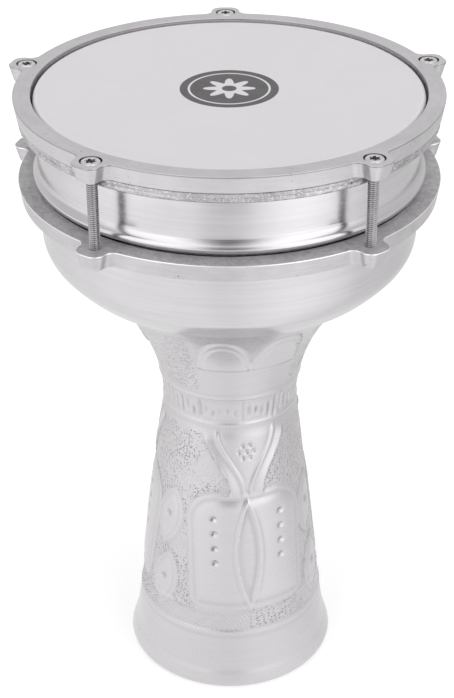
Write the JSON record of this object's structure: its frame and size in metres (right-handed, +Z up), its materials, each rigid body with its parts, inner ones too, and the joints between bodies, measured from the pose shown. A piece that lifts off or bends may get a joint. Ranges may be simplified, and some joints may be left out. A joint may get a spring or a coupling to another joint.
{
  "type": "darbuka",
  "caption": "Goblet-shaped aluminium hand drum with an embossed stem, a synthetic head and a screw-tensioned hoop.",
  "frame": {"origin": "on the drum's axis, at the plane that its foot stands on", "axes": "+Z up along the drum's axis towards the head, +Y towards the hoop ear at the back, +X to the player's right"},
  "size_m": [0.2305, 0.2301, 0.353],
  "materials": {
    "spun_aluminium": "spun and brushed, bright",
    "embossed_aluminium": "hand-embossed, satin",
    "cast_aluminium": "cast, linished on the faces",
    "rough_aluminium": "rough cast",
    "screw_steel": "zinc-plated",
    "film": "smooth white polyester, with a printed grey disc",
    "resin": "cured, amber"
  },
  "bodies": {
    "shell": {"bowl_shell": "spun_aluminium", "stem_shell": "embossed_aluminium"},
    "lug_ring": {"lug_ring": "cast_aluminium"},
    "tension_hoop": {"tension_hoop": "cast_aluminium"},
    "head": {"head_hoop": "rough_aluminium", "head_resin": "resin", "head_film": "film"},
    "screw_1": {"tension_screw_1": "screw_steel"},
    "screw_2": {"tension_screw_2": "screw_steel"},
    "screw_3": {"tension_screw_3": "screw_steel"},
    "screw_4": {"tension_screw_4": "screw_steel"},
    "screw_5": {"tension_screw_5": "screw_steel"}
  },
  "joints": [
    {"name": "hoop_lift", "type": "slide", "parent": "shell", "child": "tension_hoop", "axis": [0, 0, 1], "range_m": [0, 0.008]},
    {"name": "head_lift", "type": "slide", "parent": "shell", "child": "head", "axis": [0, 0, 1], "range_m": [0, 0.004]},
    {"name": "lug_ring_drop", "type": "slide", "parent": "shell", "child": "lug_ring", "axis": [0, 0, 1], "range_m": [-0.06, 0]},
    {"name": "screw_1_turn", "type": "hinge", "parent": "tension_hoop", "child": "screw_1", "pos_m": [-0.00175, 0.11149, 0.34], "axis": [0, 0, 1], "range_deg": [0, 2722.5]},
    {"name": "screw_2_turn", "type": "hinge", "parent": "tension_hoop", "child": "screw_2", "pos_m": [-0.10657, 0.03279, 0.34], "axis": [0, 0, 1], "range_deg": [0, 2722.5]},
    {"name": "screw_3_turn", "type": "hinge", "parent": "tension_hoop", "child": "screw_3", "pos_m": [-0.06411, -0.09122, 0.34], "axis": [0, 0, 1], "range_deg": [0, 2722.5]},
    {"name": "screw_4_turn", "type": "hinge", "parent": "tension_hoop", "child": "screw_4", "pos_m": [0.06695, -0.08916, 0.34], "axis": [0, 0, 1], "range_deg": [0, 2722.5]},
    {"name": "screw_5_turn", "type": "hinge", "parent": "tension_hoop", "child": "screw_5", "pos_m": [0.10549, 0.03612, 0.34], "axis": [0, 0, 1], "range_deg": [0, 2722.5]}
  ],
  "couplings": [
    {"joint": "head_lift", "follows": "hoop_lift", "ratio": 0.5},
    {"joint": "screw_1_turn", "follows": "hoop_lift", "rad_per_m": 5938.7},
    {"joint": "screw_2_turn", "follows": "hoop_lift", "rad_per_m": 5938.7},
    {"joint": "screw_3_turn", "follows": "hoop_lift", "rad_per_m": 5938.7},
    {"joint": "screw_4_turn", "follows": "hoop_lift", "rad_per_m": 5938.7},
    {"joint": "screw_5_turn", "follows": "hoop_lift", "rad_per_m": 5938.7}
  ]
}
